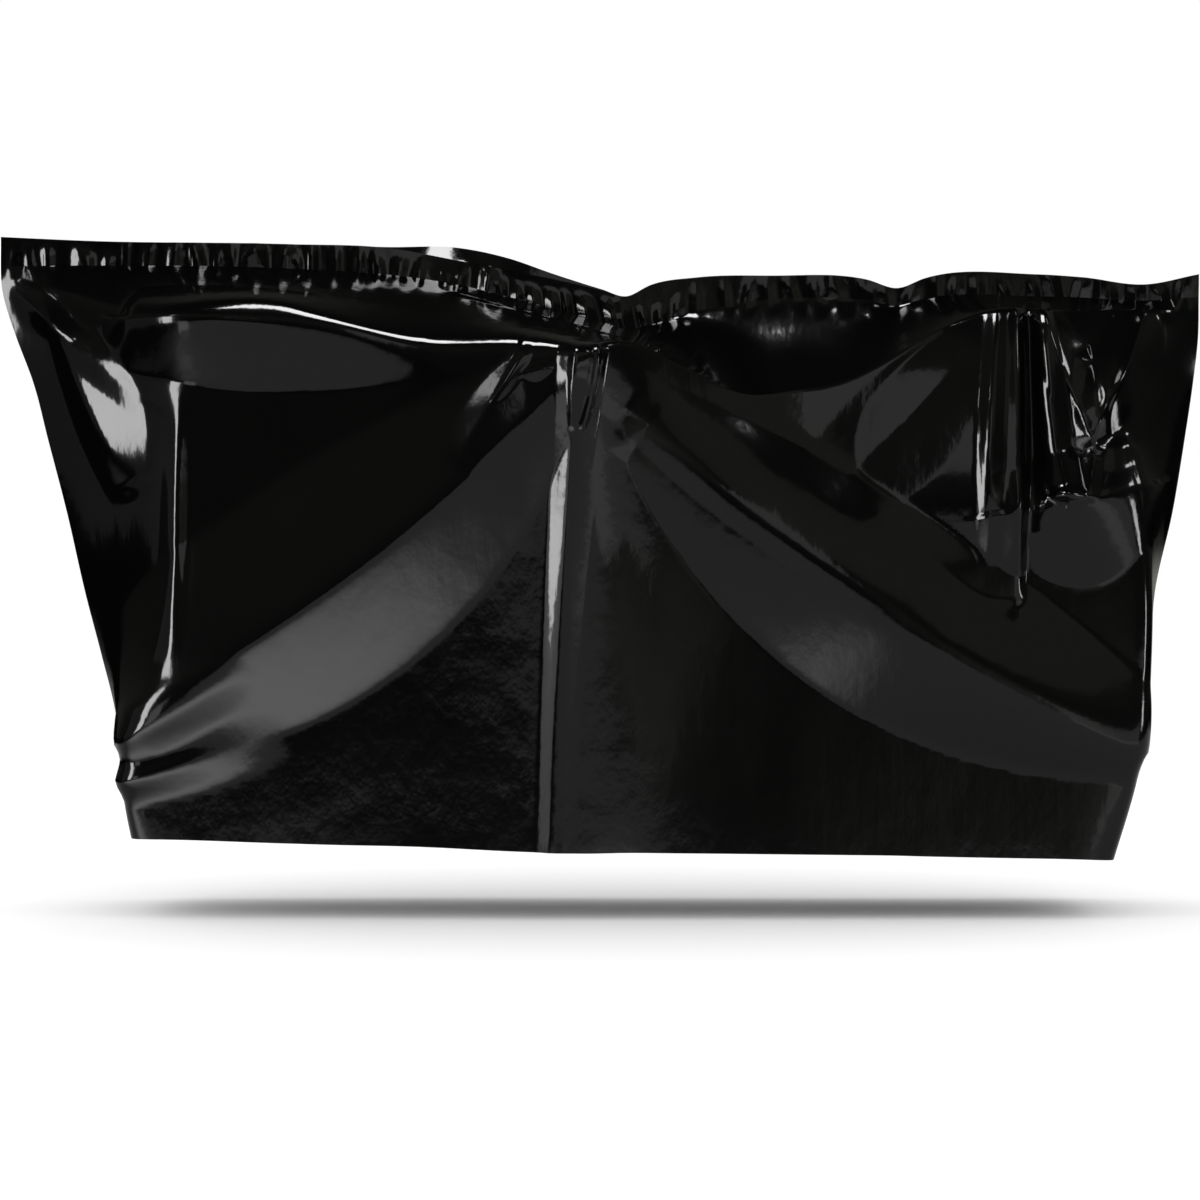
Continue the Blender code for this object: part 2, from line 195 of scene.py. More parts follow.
# Ridge where the sloping top turns down, and the hem, a row for each station along the cover. round
# is the softness of the ridge, sag bends the slope above it inwards, and belly is extra depth half
# way down the wall.
SECTION_COLUMNS = ("x", "ridge", "ridge_depth", "round", "sag", "belly", "hem", "hem_depth")
FRONT_SECTIONS = (
    (-1.035, 0.990, 0.080, 0.016, 1.0, -0.005, 0.033, 0.190),
    (-0.960, 0.982, 0.100, 0.016, 1.0, -0.005, 0.038, 0.190),
    (-0.790, 0.945, 0.150, 0.018, 1.0, -0.008, 0.045, 0.195),
    (-0.535, 0.948, 0.170, 0.018, 1.0, -0.008, 0.039, 0.200),
    (-0.460, 0.927, 0.185, 0.020, 1.0, -0.008, 0.037, 0.203),
    (-0.310, 0.888, 0.205, 0.026, 1.0, -0.010, 0.034, 0.208),
    (-0.130, 0.887, 0.228, 0.040, 1.0, -0.010, 0.026, 0.215),
    (-0.020, 0.876, 0.238, 0.030, 1.0, -0.006, 0.023, 0.216),
    (0.040, 0.882, 0.200, 0.006, 1.1, -0.004, 0.024, 0.214),
    (0.137, 0.843, 0.165, 0.001, 1.3, -0.008, 0.023, 0.210),
    (0.245, 0.796, 0.140, 0.001, 1.4, -0.010, 0.022, 0.210),
    (0.338, 0.803, 0.130, 0.001, 1.4, -0.010, 0.021, 0.210),
    (0.416, 0.818, 0.130, 0.001, 1.4, -0.010, 0.020, 0.208),
    (0.487, 0.852, 0.128, 0.001, 1.3, -0.010, 0.019, 0.206),
    (0.560, 0.895, 0.120, 0.001, 1.2, -0.010, 0.017, 0.204),
    (0.650, 0.935, 0.110, 0.006, 1.0, -0.010, 0.015, 0.202),
    (0.800, 0.940, 0.105, 0.006, 1.0, -0.010, 0.012, 0.200),
    (1.035, 0.945, 0.060, 0.012, 1.0, -0.005, 0.000, 0.190),
)
BACK_SECTIONS = (
    (-1.035, 0.935, 0.130, 0.016, 1.0, 0.000, 0.033, 0.190),
    (-0.790, 0.940, 0.150, 0.016, 1.0, -0.005, 0.036, 0.190),
    (-0.530, 0.932, 0.195, 0.012, 1.0, -0.010, 0.034, 0.205),
    (-0.300, 0.905, 0.252, 0.008, 1.1, -0.012, 0.030, 0.214),
    (-0.100, 0.885, 0.215, 0.008, 1.3, -0.010, 0.028, 0.212),
    (0.100, 0.855, 0.190, 0.008, 1.7, -0.010, 0.027, 0.208),
    (0.300, 0.845, 0.185, 0.008, 1.7, -0.010, 0.025, 0.206),
    (0.500, 0.870, 0.160, 0.008, 1.5, -0.010, 0.022, 0.203),
    (0.650, 0.915, 0.100, 0.010, 1.2, -0.010, 0.018, 0.200),
    (0.850, 0.930, 0.060, 0.012, 1.0, -0.008, 0.010, 0.195),
    (1.035, 0.935, 0.060, 0.012, 1.0, -0.005, 0.000, 0.190),
)

# Slow wander of the top line to the front and back, a row for each station along the cover
SWAY_COLUMNS = ("x", "sway")
SWAY = (
    (-1.035, 0.010),
    (-0.750, -0.006),
    (-0.400, 0.006),
    (-0.050, -0.008),
    (0.250, 0.005),
    (0.600, -0.006),
    (1.035, 0.012),
)
SWAY_FADE = 0.45  # height over which the wander dies away below the weld

# Puckers that the weld draws in both panels: small upright ridges at uneven steps, in two sizes.
# left and right are the widths of their sides.
Pucker = namedtuple("Pucker", "step steepness left right reach seed")
PUCKERS = (
    Pucker(0.034, 1.0, 0.015, 0.017, 0.030, 3),
    Pucker(0.011, 0.15, 0.004, 0.005, 0.012, 5),
)
PUCKER_SLOPE = (0.47, 0.14)  # of their left sides at the middle, and how it grows along the cover
PUCKER_CALM = (0.05, 0.15, 0.4)  # x from and to which they grow flatter, and their share beyond
PUCKER_STEPS = (0.5, 1.5)  # least and greatest share of the step
PUCKER_SIZES = (0.6, 1.2)  # of the widths
PUCKER_HEIGHTS = (0.75, 1.15)
PUCKER_LEAN = 0.3  # greatest slant to either side
PUCKER_MIDDLES = (-0.4, 0.6)  # lowest and highest above the weld, in reaches
PUCKER_FULL = 0.4  # of the reach above and below the middle, at full height
PUCKER_SEAM_FADE = 0.03  # along the film from the end seam, over which they grow

# A fold is a ridge, or with a negative height a trough, seen from in front of its panel. It runs
# left to right or upwards between two places (x, z). height, above and below are triples for its
# start, middle and end: how far it stands out, and how wide its two sides are. For an upward fold,
# above is the left side. bow lifts its middle to the above side: point is 2 for an even arc and
# nearer 1 for one bent at its middle. crest is the roundness of its top and foot the softness of its
# sides' ends.
Fold = namedtuple(
    "Fold", "name start end bow height above below crest foot point", defaults=(0.15, 2.0)
)
FRONT_FOLDS = (
    Fold("bar", (-0.775, 0.925), (-0.300, 0.886), 0.012, (0.028, 0.022, 0.003),
         (0.05, 0.05, 0.04), (0.09, 0.115, 0.06), 0.008, 0.05),
    Fold("band", (-0.80, 0.255), (-0.055, 0.825), -0.045, (0.016, 0.040, 0.004),
         (0.14, 0.20, 0.05), (0.09, 0.17, 0.04), 0.010, 0.08),
    Fold("low_left", (-0.80, 0.205), (-0.585, 0.335), 0.0, (0.014, 0.010, 0.0),
         (0.05, 0.06, 0.03), (0.04, 0.05, 0.03), 0.004),
    Fold("hem_left", (-0.803, 0.140), (-0.52, 0.232), 0.0, (0.014, 0.008, 0.0),
         (0.04, 0.05, 0.03), (0.03, 0.05, 0.04), 0.004),
    Fold("pleat", (-0.079, 0.023), (-0.030, 0.860), 0.006, (0.0080, 0.0088, 0.016),
         (0.028, 0.028, 0.035), (0.035, 0.030, 0.035), 0.010, 0.45),
    Fold("short_crease", (-0.235, 0.670), (-0.124, 0.856), 0.008, (0.0, 0.008, 0.005),
         (0.04, 0.04, 0.02), (0.03, 0.06, 0.04), 0.003),
    Fold("long_tension", (0.02, 0.865), (0.62, 0.440), -0.020, (0.003, 0.012, 0.0),
         (0.03, 0.08, 0.05), (0.06, 0.08, 0.05), 0.030),
    Fold("right_tension", (0.08, 0.74), (0.907, 0.192), -0.036, (0.006, 0.040, 0.010),
         (0.06, 0.15, 0.08), (0.05, 0.155, 0.03), 0.025, 0.04),
    Fold("bunch_left", (0.702, 0.450), (0.704, 0.950), 0.0, (0.006, 0.044, 0.010),
         (0.05, 0.27, 0.04), (0.014, 0.018, 0.012), 0.003, 0.02),
    Fold("valley", (0.380, 0.615), (0.600, 0.840), 0.0, (0.0, -0.009, -0.004),
         (0.06, 0.09, 0.06), (0.06, 0.10, 0.06), 0.004, 0.05),
    Fold("tube", (0.650, 0.500), (0.672, 0.940), 0.008, (0.0, 0.013, 0.008),
         (0.016, 0.020, 0.016), (0.020, 0.026, 0.018), 0.004),
    Fold("bunch_gap", (0.733, 0.560), (0.730, 0.960), 0.0, (0.0, -0.014, -0.008),
         (0.010, 0.010, 0.010), (0.020, 0.014, 0.010), 0.003),
    Fold("roll", (0.782, 0.625), (0.748, 0.950), 0.004, (0.014, 0.020, 0.006),
         (0.020, 0.022, 0.010), (0.030, 0.024, 0.012), 0.008, 0.10),
    Fold("roll_foot", (0.752, 0.622), (0.812, 0.622), 0.004, (0.004, 0.012, 0.004),
         (0.010, 0.014, 0.010), (0.006, 0.010, 0.006), 0.002),
    Fold("vee_left", (0.826, 0.722), (0.745, 0.955), 0.002, (0.012, 0.018, 0.006),
         (0.03, 0.035, 0.02), (0.04, 0.050, 0.03), 0.003, 0.10),
    Fold("vee_right", (0.828, 0.722), (0.944, 0.965), 0.0, (0.012, 0.018, 0.006),
         (0.04, 0.050, 0.04), (0.03, 0.060, 0.04), 0.003, 0.10),
    Fold("vee_left_line", (0.826, 0.722), (0.745, 0.955), 0.002, (0.0012, 0.0014, 0.0024),
         (0.008, 0.008, 0.008), (0.008, 0.009, 0.008), 0.0003, 0.03),
    Fold("vee_right_line", (0.828, 0.722), (0.944, 0.965), 0.0, (0.0024, 0.0030, 0.0034),
         (0.008, 0.009, 0.008), (0.008, 0.008, 0.008), 0.0003, 0.03),
    Fold("vee_core", (0.8385, 0.735), (0.832, 0.850), 0.0, (0.004, 0.014, 0.010),
         (0.03, 0.04, 0.03), (0.02, 0.03, 0.04), 0.003),
    Fold("swag", (0.700, 0.600), (0.905, 0.640), -0.004, (0.008, 0.034, 0.014),
         (0.06, 0.08, 0.06), (0.10, 0.145, 0.10), 0.008, 0.03),
    Fold("node_left", (0.820, 0.630), (0.836, 0.700), 0.0, (0.004, 0.006, 0.004),
         (0.02, 0.02, 0.02), (0.02, 0.02, 0.02), 0.002),
    Fold("node_right", (0.836, 0.700), (0.892, 0.708), 0.0, (0.006, 0.010, 0.006),
         (0.02, 0.02, 0.02), (0.03, 0.04, 0.03), 0.002),
    Fold("loop", (-0.046, 0.738), (-0.040, 0.868), 0.002, (0.0020, 0.0036, 0.0036),
         (0.006, 0.008, 0.008), (0.006, 0.008, 0.008), 0.0005, 0.02),
    Fold("loop_right", (-0.030, 0.738), (-0.007, 0.876), -0.004, (0.0050, 0.0064, 0.0064),
         (0.007, 0.007, 0.007), (0.007, 0.007, 0.007), 0.0005, 0.02),
    Fold("pleat_line", (-0.081, 0.030), (-0.045, 0.738), 0.0, (0.0007, 0.0004, 0.0002),
         (0.010, 0.010, 0.010), (0.010, 0.010, 0.010), 0.0002, 0.02),
    Fold("fan_left", (-0.178, 0.781), (-0.128, 0.880), -0.006, (0.001, 0.0035, 0.0035),
         (0.005, 0.007, 0.007), (0.010, 0.020, 0.020), 0.0005, 0.02),
    Fold("crown", (-0.128, 0.828), (-0.084, 0.838), 0.0, (0.001, 0.005, 0.003),
         (0.004, 0.010, 0.006), (0.010, 0.020, 0.012), 0.0005, 0.02),
    Fold("ear_lower", (-1.005, 0.968), (-0.905, 0.900), 0.0, (0.012, 0.016, 0.004),
         (0.03, 0.035, 0.02), (0.03, 0.035, 0.02), 0.003),
    Fold("lip", (-0.255, 0.975), (0.035, 0.893), 0.002, (0.010, 0.007, 0.006),
         (0.006, 0.007, 0.006), (0.004, 0.005, 0.004), 0.0005, 0.02),
    Fold("cone", (-0.806, 0.645), (-0.934, 0.915), -0.008, (0.006, 0.029, 0.008),
         (0.04, 0.05, 0.02), (0.04, 0.080, 0.03), 0.004, 0.03),
    Fold("ear_upper", (-0.955, 0.935), (-0.775, 0.790), 0.005, (0.003, 0.009, 0.002),
         (0.03, 0.10, 0.08), (0.02, 0.035, 0.03), 0.004),
    Fold("packed_left", (-0.715, 0.370), (-0.710, 0.800), 0.0, (0.002, 0.009, 0.0),
         (0.030, 0.030, 0.030), (0.016, 0.016, 0.016), 0.003),
)
BACK_FOLDS = (
    Fold("bar", (-0.86, 0.935), (-0.34, 0.908), 0.010, (0.006, 0.018, 0.010),
         (0.05, 0.05, 0.04), (0.07, 0.10, 0.06), 0.006),
    Fold("pleat", (-0.280, 0.030), (-0.305, 0.890), 0.010, (0.006, 0.012, 0.014),
         (0.035, 0.035, 0.035), (0.035, 0.035, 0.035), 0.006),
    Fold("left_tension", (-0.81, 0.330), (-0.330, 0.860), -0.030, (0.010, 0.026, 0.004),
         (0.10, 0.12, 0.04), (0.08, 0.12, 0.04), 0.010),
    Fold("right_tension", (-0.270, 0.860), (0.80, 0.240), -0.070, (0.004, 0.034, 0.010),
         (0.04, 0.18, 0.10), (0.04, 0.16, 0.08), 0.012),
    Fold("middle_tension", (-0.255, 0.790), (0.320, 0.150), -0.040, (0.002, 0.020, 0.004),
         (0.03, 0.10, 0.08), (0.03, 0.09, 0.06), 0.010),
    Fold("bunch_left", (0.560, 0.480), (0.600, 0.920), 0.0, (0.0, 0.022, 0.010),
         (0.06, 0.05, 0.04), (0.04, 0.04, 0.03), 0.008),
    Fold("bunch_right", (0.790, 0.420), (0.740, 0.930), 0.010, (0.0, 0.022, 0.010),
         (0.05, 0.05, 0.04), (0.06, 0.05, 0.04), 0.008),
    Fold("hem_right", (0.45, 0.160), (0.90, 0.130), 0.020, (0.0, 0.012, 0.012),
         (0.05, 0.06, 0.06), (0.05, 0.06, 0.05), 0.008),
)


def curve(at, table, columns, name, key):
    """The named column's value at each place, on a smooth curve through the table's rows."""
    rows = np.array(table)
    xs = rows[:, columns.index(key)]
    ys = rows[:, columns.index(name)]
    slopes = np.gradient(ys, xs)
    low = np.clip(np.searchsorted(xs, at) - 1, 0, len(xs) - 2)
    step = xs[low + 1] - xs[low]
    t = np.clip((at - xs[low]) / step, 0, 1)
    start = (1 + 2 * t) * (1 - t) ** 2 * ys[low] + t * (1 - t) ** 2 * step * slopes[low]
    return start + t * t * (3 - 2 * t) * ys[low + 1] + t * t * (t - 1) * step * slopes[low + 1]


def smooth_step(value):
    t = np.clip(value, 0, 1)
    return t * t * (3 - 2 * t)


def soft_least(a, b, softness):
    """The lesser of two surfaces, rounded where they cross."""
    return 0.5 * (a + b - np.sqrt((a - b) ** 2 + softness**2))


def height_at(x, row, top_name, sections):
    """z of a row: -1 is the free top edge, 0 the weld, 1 the ridge and 2 the hem."""
    top = curve(x, TOP, TOP_COLUMNS, top_name, "x")
    weld = curve(x, TOP, TOP_COLUMNS, "weld", "x")
    ridge = curve(x, sections, SECTION_COLUMNS, "ridge", "x")
    hem = curve(x, sections, SECTION_COLUMNS, "hem", "x")
    edge = weld + (top - weld) * np.clip(-row, 0, 1)
    roof = weld + (ridge - weld) * np.clip(row, 0, 1)
    wall = ridge + (hem - ridge) * np.clip(row - 1, 0, 1)
    return np.where(row < 0, edge, np.where(row < 1, roof, wall))


def along_film(share, z):
    """x at this share of the film's width, its share of the full depth and its way to a seam."""
    left, right, left_run, right_run, depth = (
        curve(z, ENDS, END_COLUMNS, name, "z") for name in END_COLUMNS[1:]
    )
    left_film = np.hypot(left_run, depth)
    right_film = np.hypot(right_run, depth)
    width = right - left + (left_film - left_run) + (right_film - right_run)
    film = share * width
    left_rise = (film / left_film) / (1 + (film / left_film) ** CORNER) ** (1 / CORNER)
    rest = (width - film) / right_film
    right_rise = rest / (1 + rest**CORNER) ** (1 / CORNER)
    taken = (left_film - left_run) * left_rise + (right_film - right_run) * (1 - right_rise)
    return left + film - taken, left_rise * right_rise, np.minimum(film, width - film)


def depth_at(x, z, sections):
    """How far the wall or the sloping top stands out from the middle plane, away from the ends."""
    weld = curve(x, TOP, TOP_COLUMNS, "weld", "x")
    ridge, ridge_depth, rounding, sag, belly, hem, hem_depth = (
        curve(x, sections, SECTION_COLUMNS, name, "x") for name in SECTION_COLUMNS[1:]
    )
    down = (ridge - z) / (ridge - hem)
    wall = ridge_depth + (hem_depth - ridge_depth) * down * (2 - down)
    wall = wall + 4 * belly * down * (1 - down)
    slope = np.maximum(weld - z, 0) / (weld - ridge)
    roof = ridge_depth * np.where(slope < 1, slope**sag, 1 + sag * (slope - 1))
    return np.maximum(soft_least(wall, roof, rounding), 0)


def triple(values, share):
    """A smooth change through the values at the start, the middle and the end."""
    start, middle, end = values
    first = start * (1 - share) * (1 - 2 * share)
    return first + 4 * middle * share * (1 - share) + end * share * (2 * share - 1)


def fold_height(fold, x, z):
    """How far the fold stands out of its panel at these places."""
    start = np.array(fold.start)
    span = np.array(fold.end) - start
    length = np.hypot(*span)
    along = ((x - start[0]) * span[0] + (z - start[1]) * span[1]) / length
    aside = ((z - start[1]) * span[0] - (x - start[0]) * span[1]) / length
    share = np.clip(along / length, 0, 1)
    from_middle = np.abs(2 * share - 1)
    slant = 2 * fold.bow * fold.point * from_middle ** (fold.point - 1) / length
    aside = (aside - fold.bow * (1 - from_middle**fold.point)) / np.hypot(1, slant)
    width = np.where(aside > 0, triple(fold.above, share), triple(fold.below, share))
    beyond = np.maximum(along - length, -along) / width
    rounded = np.sqrt(aside**2 + fold.crest**2) - fold.crest
    rise = np.clip(1 - rounded / width, 0, 1) * (1 - smooth_step(beyond))
    return triple(fold.height, share) * rise * rise * (1 + fold.foot) / (rise + fold.foot)


def flare(x, side):
    """How much further back the free edges lean beside the dip in the top line."""
    spread, lean = FLARES[side]
    return lean * np.exp(-(((x - FLARE_X) / spread) ** 2))


def pucker_height(x, z, weld):
    """How far the puckers along the weld push both panels forward."""
    total = np.zeros_like(x)
    for step, steepness, left, right, reach, seed in PUCKERS:
        rng = np.random.default_rng(seed)
        place = TOP[0][0]
        while place < TOP[-1][0]:
            place += step * rng.uniform(*PUCKER_STEPS)
            size = rng.uniform(*PUCKER_SIZES)
            lean = rng.uniform(-PUCKER_LEAN, PUCKER_LEAN)
            middle = rng.uniform(*PUCKER_MIDDLES) * reach
            aside = x - place - lean * (z - weld)
            width = size * np.where(aside < 0, left, right)
            rise = np.clip(1 - np.abs(aside) / width, 0, 1)
            fade = 1 - smooth_step((np.abs(z - weld - middle) - PUCKER_FULL * reach) / reach)
            slope = steepness * (PUCKER_SLOPE[0] + PUCKER_SLOPE[1] * place)
            slope *= np.interp(place, PUCKER_CALM[:2], (1, PUCKER_CALM[2]))
            total += size * left * slope * rng.uniform(*PUCKER_HEIGHTS) * rise * fade
    return total


def spaced(first, last, count, spacing):
    """count steps from first to last, each as long as the spacing table says for its place."""
    places, lengths = np.array(spacing).T
    fine = np.linspace(first, last, SPACING_SAMPLES * count)
    passed = np.cumsum(1 / np.interp(fine, places, lengths))
    steps = np.linspace(passed[0], passed[-1], count + 1)
    return np.interp(steps, passed, fine)


def panel_points(side, top_name, sections, folds, rows):
    """Places of a panel's inner face, in rows by columns by x, y, z. side is -1 in front."""
    share, row = np.meshgrid(spaced(0, 1, ACROSS, COLUMN_SPACING), rows)
    x = (share - 0.5) * 2  # a first guess, which the rounds below correct
    for _ in range(SETTLING_ROUNDS):
        z = height_at(x, row, top_name, sections)
        x, rise, from_seam = along_film(share, z)
    depth = depth_at(x, z, sections) * rise
    run_x = np.gradient(x, axis=1)
    run_depth = np.gradient(depth, axis=1)
    run = np.hypot(run_x, run_depth)
    weld = curve(x, TOP, TOP_COLUMNS, "weld", "x")
    lift = sum(fold_height(fold, x, z) for fold in folds)
    lift = lift * smooth_step((weld - z) / WELD_FADE) * smooth_step(from_seam / SEAM_FADE)
    x = x - lift * run_depth / run
    depth = np.maximum(depth + lift * run_x / run, 0)
    depth = depth + SEAM_GAP / 2 + SPLAY * np.clip(-row, 0, 1)
    sway = curve(x, SWAY, SWAY_COLUMNS, "sway", "x") * smooth_step(1 - (weld - z) / SWAY_FADE)
    sway = sway - pucker_height(x, z, weld) * smooth_step(from_seam / PUCKER_SEAM_FADE)
    sway = sway + flare(x, side) * np.clip(-row, 0, 1)
    return np.stack([x, side * depth + sway, z], axis=-1)


def plug(tree, value, socket):
    """Links another node's output to the socket, or sets a fixed value on it."""
    if isinstance(value, bpy.types.NodeSocket):
        tree.links.new(value, socket)
    else:
        socket.default_value = value


def math_node(tree, operation, *values):
    """The result for these values, each a number or another node's output."""
    node = tree.nodes.new("ShaderNodeMath")
    node.operation = operation
    for value, socket in zip(values, node.inputs):
        plug(tree, value, socket)
    return node.outputs["Value"]


def vector_node(tree, operation, first, second):
    """The result for two vectors, or for a vector and a factor to scale it by."""
    node = tree.nodes.new("ShaderNodeVectorMath")
    node.operation = operation
    plug(tree, first, node.inputs[0])
    plug(tree, second, node.inputs["Scale" if operation == "SCALE" else 1])
    return node.outputs["Vector"]


def map_range(tree, value, start, end, low=0.0, high=1.0):
    """Low where the value is start, high where it is end, and clamped beyond them."""
    node = tree.nodes.new("ShaderNodeMapRange")
    limits = {"From Min": start, "From Max": end, "To Min": low, "To Max": high}
    for name, limit in limits.items():
        node.inputs[name].default_value = limit
    plug(tree, value, node.inputs["Value"])
    return node.outputs["Result"]


def mix(tree, factor, first, second):
    """A blend of two colours, the first where the factor is 0 and the second where it is 1."""
    node = tree.nodes.new("ShaderNodeMix")
    node.data_type = "RGBA"
    for name, value in (("Factor", factor), ("A", first), ("B", second)):
        plug(tree, value, node.inputs[name])
    return node.outputs["Result"]


def ramp(tree, value, levels):
    """The level at the value, on straight lines through the table, and dark beyond it."""
    node = tree.nodes.new("ShaderNodeValToRGB")
    stops = node.color_ramp.elements
    for stop, place in zip(stops, (0, 1)):
        stop.position, stop.color = place, DARK
    for place, level in levels:
        stops.new(place).color = (level, level, level, 1)
    plug(tree, value, node.inputs["Fac"])
    return node.outputs["Color"]


def film_material(name):
    """Thin black film: a gloss surface with fine drawn streaks and soft rumples."""
    material = bpy.data.materials.new(name)
    material.use_nodes = True
    tree = material.node_tree
    nodes, links = tree.nodes, tree.links
    shader = nodes["Principled BSDF"]
    shader.inputs["Base Color"].default_value = (*FILM_COLOUR, 1)
    shader.inputs["IOR"].default_value = FILM_IOR
    place = nodes.new("ShaderNodeTexCoord").outputs["Object"]

    def noise(relief):
        mapping = nodes.new("ShaderNodeMapping")
        mapping.inputs["Scale"].default_value = relief.stretch
        links.new(place, mapping.inputs["Vector"])
        texture = nodes.new("ShaderNodeTexNoise")
        texture.inputs["Scale"].default_value = relief.scale
        texture.inputs["Detail"].default_value = relief.detail
        links.new(mapping.outputs["Vector"], texture.inputs["Vector"])
        return texture.outputs["Fac"]

    rumples = noise(RUMPLES)
    streaks = noise(STREAKS)
    least, greatest = (FILM_ROUGHNESS * share for share in UNEVENNESS)
    links.new(map_range(tree, rumples, 0, 1, least, greatest), shader.inputs["Roughness"])
    normal = None
    for height, relief in ((rumples, RUMPLES), (streaks, STREAKS)):
        bump = nodes.new("ShaderNodeBump")
        bump.inputs["Strength"].default_value = relief.strength
        bump.inputs["Distance"].default_value = relief.depth
        links.new(height, bump.inputs["Height"])
        if normal:
            links.new(normal, bump.inputs["Normal"])
        normal = bump.outputs["Normal"]
    links.new(normal, shader.inputs["Normal"])
    return material


def make_sheet(name, side, points, material):
    """A smooth sheet through the points, with sharp edges along the weld and the pocket's lip."""
    down, across = points.shape[0] - 1, points.shape[1] - 1
    grid = bmesh.new()
    bmesh.ops.create_grid(grid, x_segments=across, y_segments=down, size=1)
    if side > 0:
        bmesh.ops.reverse_faces(grid, faces=grid.faces)
    mesh = bpy.data.meshes.new(name)
    grid.to_mesh(mesh)
    grid.free()
    flat = np.empty(len(mesh.vertices) * 3)
    mesh.vertices.foreach_get("co", flat)
    flat = flat.reshape(-1, 3)
    column = np.rint((flat[:, 0] + 1) / 2 * across).astype(int)
    row = np.rint((1 - flat[:, 1]) / 2 * down).astype(int)
    mesh.vertices.foreach_set("co", points[row, column].ravel())
    mesh.update()
    mesh.shade_smooth()
    ends = np.empty(len(mesh.edges) * 2, int)
    mesh.edges.foreach_get("vertices", ends)
    ends = ends.reshape(-1, 2)
    on_weld = (row[ends] == EDGE_ROWS).all(axis=1)
    places = points[row[ends], column[ends], 0]
    on_lip = (row[ends] == EDGE_ROWS + ROOF_ROWS) & (places > LIP[0]) & (places < LIP[1])
    sharp = mesh.attributes.new("sharp_edge", "BOOLEAN", "EDGE")
    sharp.data.foreach_set("value", on_weld | on_lip.all(axis=1))
    mesh.materials.append(material)
    sheet = bpy.data.objects.new(name, mesh)
    bpy.context.scene.collection.objects.link(sheet)
    return sheet


def area_light(name, place, size, radiance, tint):
    """A softbox that faces the cover, with its brightness given as seen from in front."""
    light = bpy.data.lights.new(name, "AREA")
    light.shape = "RECTANGLE"
    light.size, light.size_y = size
    light.energy = radiance * np.pi * size[0] * size[1]
    light.color = tint
    lamp = bpy.data.objects.new(name, light)
    lamp.location = place
    aim = Vector(LIGHTS_AIM) - Vector(place)
    lamp.rotation_euler = aim.to_track_quat("-Z", "Y").to_euler()
    lamp.visible_camera = False
    lamp.visible_diffuse = False
    bpy.context.scene.collection.objects.link(lamp)


def studio_world(scene):
    """White to the eye and for soft light, and a dim room to the film's reflections."""
    world = bpy.data.worlds.new("studio")
    scene.world = world
    world.use_nodes = True
    tree = world.node_tree
    rays = tree.nodes.new("ShaderNodeLightPath").outputs
    direction = tree.nodes.new("ShaderNodeSeparateXYZ")
    place = tree.nodes.new("ShaderNodeTexCoord").outputs["Generated"]
    tree.links.new(place, direction.inputs["Vector"])
    right, height = direction.outputs["X"], direction.outputs["Z"]
    sides = ramp(tree, math_node(tree, "MULTIPLY_ADD", right, 0.5, 0.5), SIDE_LEVELS)
    side_light = map_range(tree, height, SIDE_TOP, 0.0, high=SIDE_LIGHT)
    glow = vector_node(tree, "SCALE", sides, side_light)
    room = vector_node(tree, "ADD", ramp(tree, height, ROOM_LEVELS), glow)
    room = vector_node(tree, "MULTIPLY", room, ROOM_TINT)
    white = mix(tree, rays["Is Diffuse Ray"], (*WHITE, 1), (DAYLIGHT, DAYLIGHT, DAYLIGHT, 1))
    seen = mix(tree, rays["Is Glossy Ray"], white, room)
    tree.links.new(seen, tree.nodes["Background"].inputs["Color"])


def painted_floor_reflections(tree, surface):
    """Paints the floor in the film's reflections: a darker painted tone, and a painted glow near the
    cover.
    """
    is_reflection = tree.nodes.new("ShaderNodeLightPath").outputs["Is Glossy Ray"]
    position = tree.nodes.new("ShaderNodeSeparateXYZ")
    place = tree.nodes.new("ShaderNodeTexCoord").outputs["Object"]
    tree.links.new(place, position.inputs["Vector"])
    x, y = position.outputs["X"], position.outputs["Y"]
    # Painted reflection: a darker floor colour for the film's reflections alone, fading to black
    # beyond the left
    painted_reflection = map_range(tree, x, *PAINTED_REFLECTION_LEFT, high=FLOOR_PAINTED_REFLECTION)
    tree.links.new(mix(tree, is_reflection, FLOOR_TONE, painted_reflection), surface.inputs["Base Color"])
    # Painted glow: emission on the floor, seen only in the film's reflections, brightest just in
    # front of the cover
    strongest = max(level for _, level in PAINTED_GLOW_LEVELS)
    levels = [(distance / PAINTED_GLOW_REACH, level / strongest) for distance, level in PAINTED_GLOW_LEVELS]
    glow = ramp(tree, math_node(tree, "MULTIPLY", y, -1 / PAINTED_GLOW_REACH), levels)
    strength = is_reflection
    for factor in (
        map_range(tree, x, *PAINTED_GLOW_LEFT),
        map_range(tree, x, *reversed(PAINTED_GLOW_RIGHT)),
        strongest,
    ):
        strength = math_node(tree, "MULTIPLY", strength, factor)
    tree.links.new(glow, surface.inputs["Emission Color"])
    tree.links.new(strength, surface.inputs["Emission Strength"])


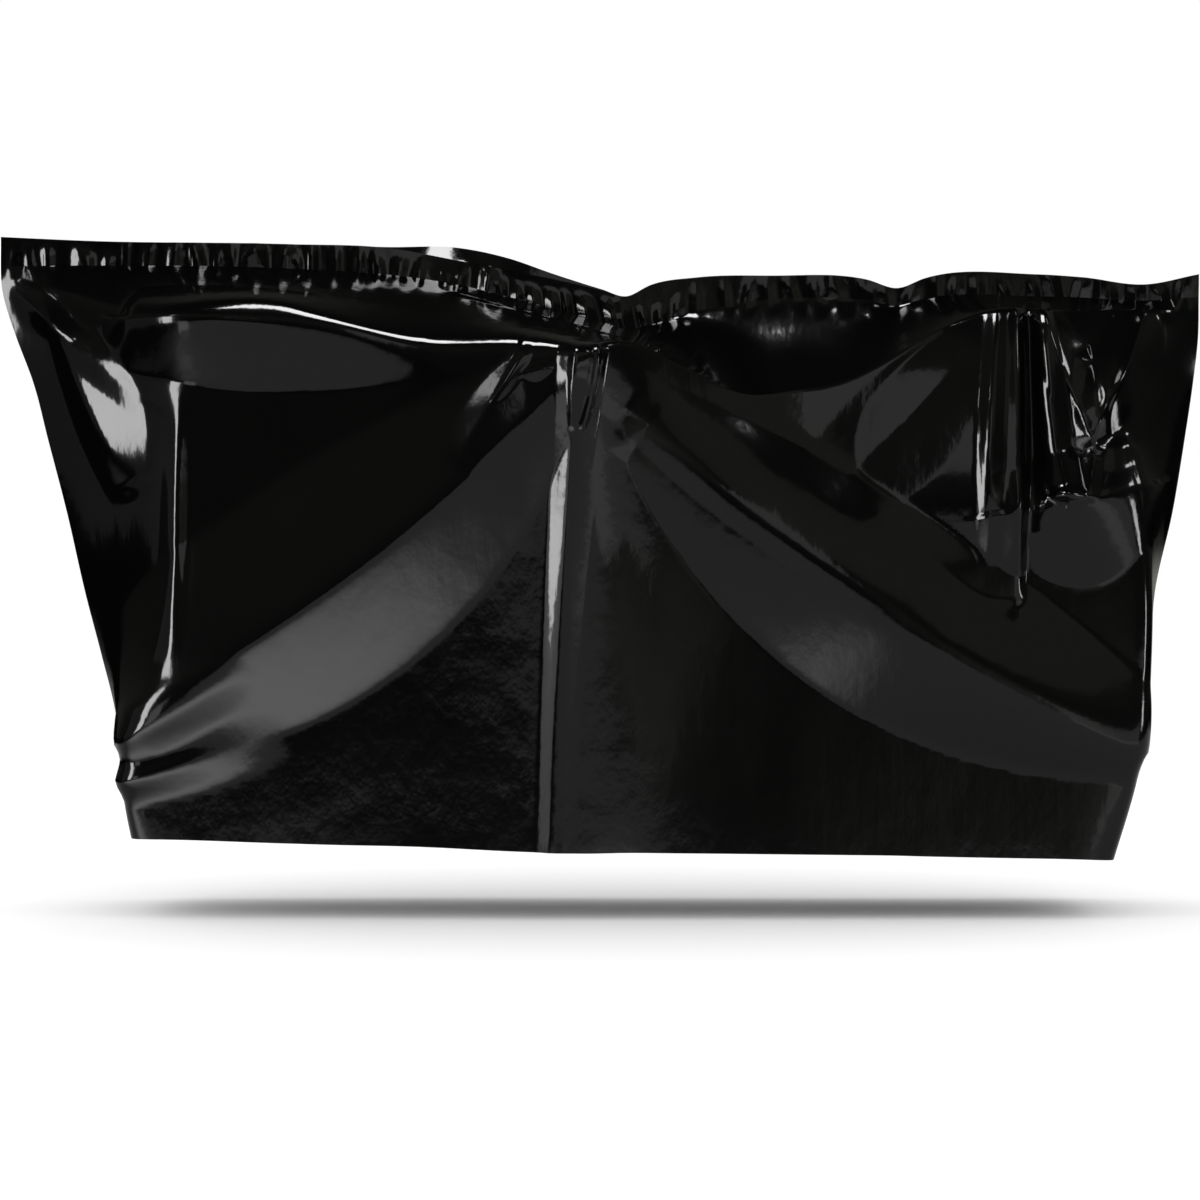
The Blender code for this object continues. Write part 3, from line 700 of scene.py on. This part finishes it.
def make_floor():
    mesh = bpy.data.meshes.new("floor")
    grid = bmesh.new()
    bmesh.ops.create_grid(grid, x_segments=1, y_segments=1, size=FLOOR_SIZE / 2)
    bmesh.ops.translate(grid, verts=grid.verts, vec=(0, FLOOR_BACK - FLOOR_SIZE / 2, 0))
    grid.to_mesh(mesh)
    grid.free()
    floor = bpy.data.objects.new("floor", mesh)
    floor.location = (0, 0, FLOOR_Z)
    bpy.context.scene.collection.objects.link(floor)
    pale = bpy.data.materials.new("pale_floor_painted_reflections")
    pale.use_nodes = True
    surface = pale.node_tree.nodes["Principled BSDF"]
    surface.inputs["Roughness"].default_value = FLOOR_ROUGHNESS
    surface.inputs["Specular IOR Level"].default_value = 0.0
    # The pale floor also carries painted reflections: a darker tone and a painted glow, both for the
    # film's reflections only
    painted_floor_reflections(pale.node_tree, surface)
    mesh.materials.append(pale)
    return floor


def build_studio():
    scene = bpy.context.scene
    scene.view_settings.view_transform = "Standard"
    studio_world(scene)
    floor = make_floor()
    for softbox in SOFTBOXES:
        area_light(*softbox)

    camera = bpy.data.cameras.new("camera")
    camera.sensor_width = SENSOR_WIDTH
    camera.lens = SENSOR_WIDTH * CAMERA_DISTANCE / FRAME_WIDTH
    viewer = bpy.data.objects.new("camera", camera)
    viewer.location = (0, -CAMERA_DISTANCE, CAMERA_Z)
    aim = Vector((0, 0, FRAME_MIDDLE_Z)) - viewer.location
    viewer.rotation_euler = aim.to_track_quat("-Z", "Y").to_euler()
    scene.collection.objects.link(viewer)
    scene.camera = viewer


def main():
    rows = np.concatenate(
        [
            np.linspace(-1, 0, EDGE_ROWS + 1),
            np.linspace(0, 1, ROOF_ROWS + 1)[1:],
            spaced(1, 2, WALL_ROWS, ROW_SPACING)[1:],
        ]
    )
    for name, node, side, top_name, sections, folds, slot in (
        ("front_film", "front_panel", -1, "front_top", FRONT_SECTIONS, FRONT_FOLDS, "front_film"),
        ("back_film", "back_panel", 1, "top", BACK_SECTIONS, BACK_FOLDS, "back_film"),
    ):
        points = panel_points(side, top_name, sections, folds, rows)
        sheet = make_sheet(name, side, points, film_material(slot))
        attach(sheet, "root")
        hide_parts(node)
    build_studio()


main()
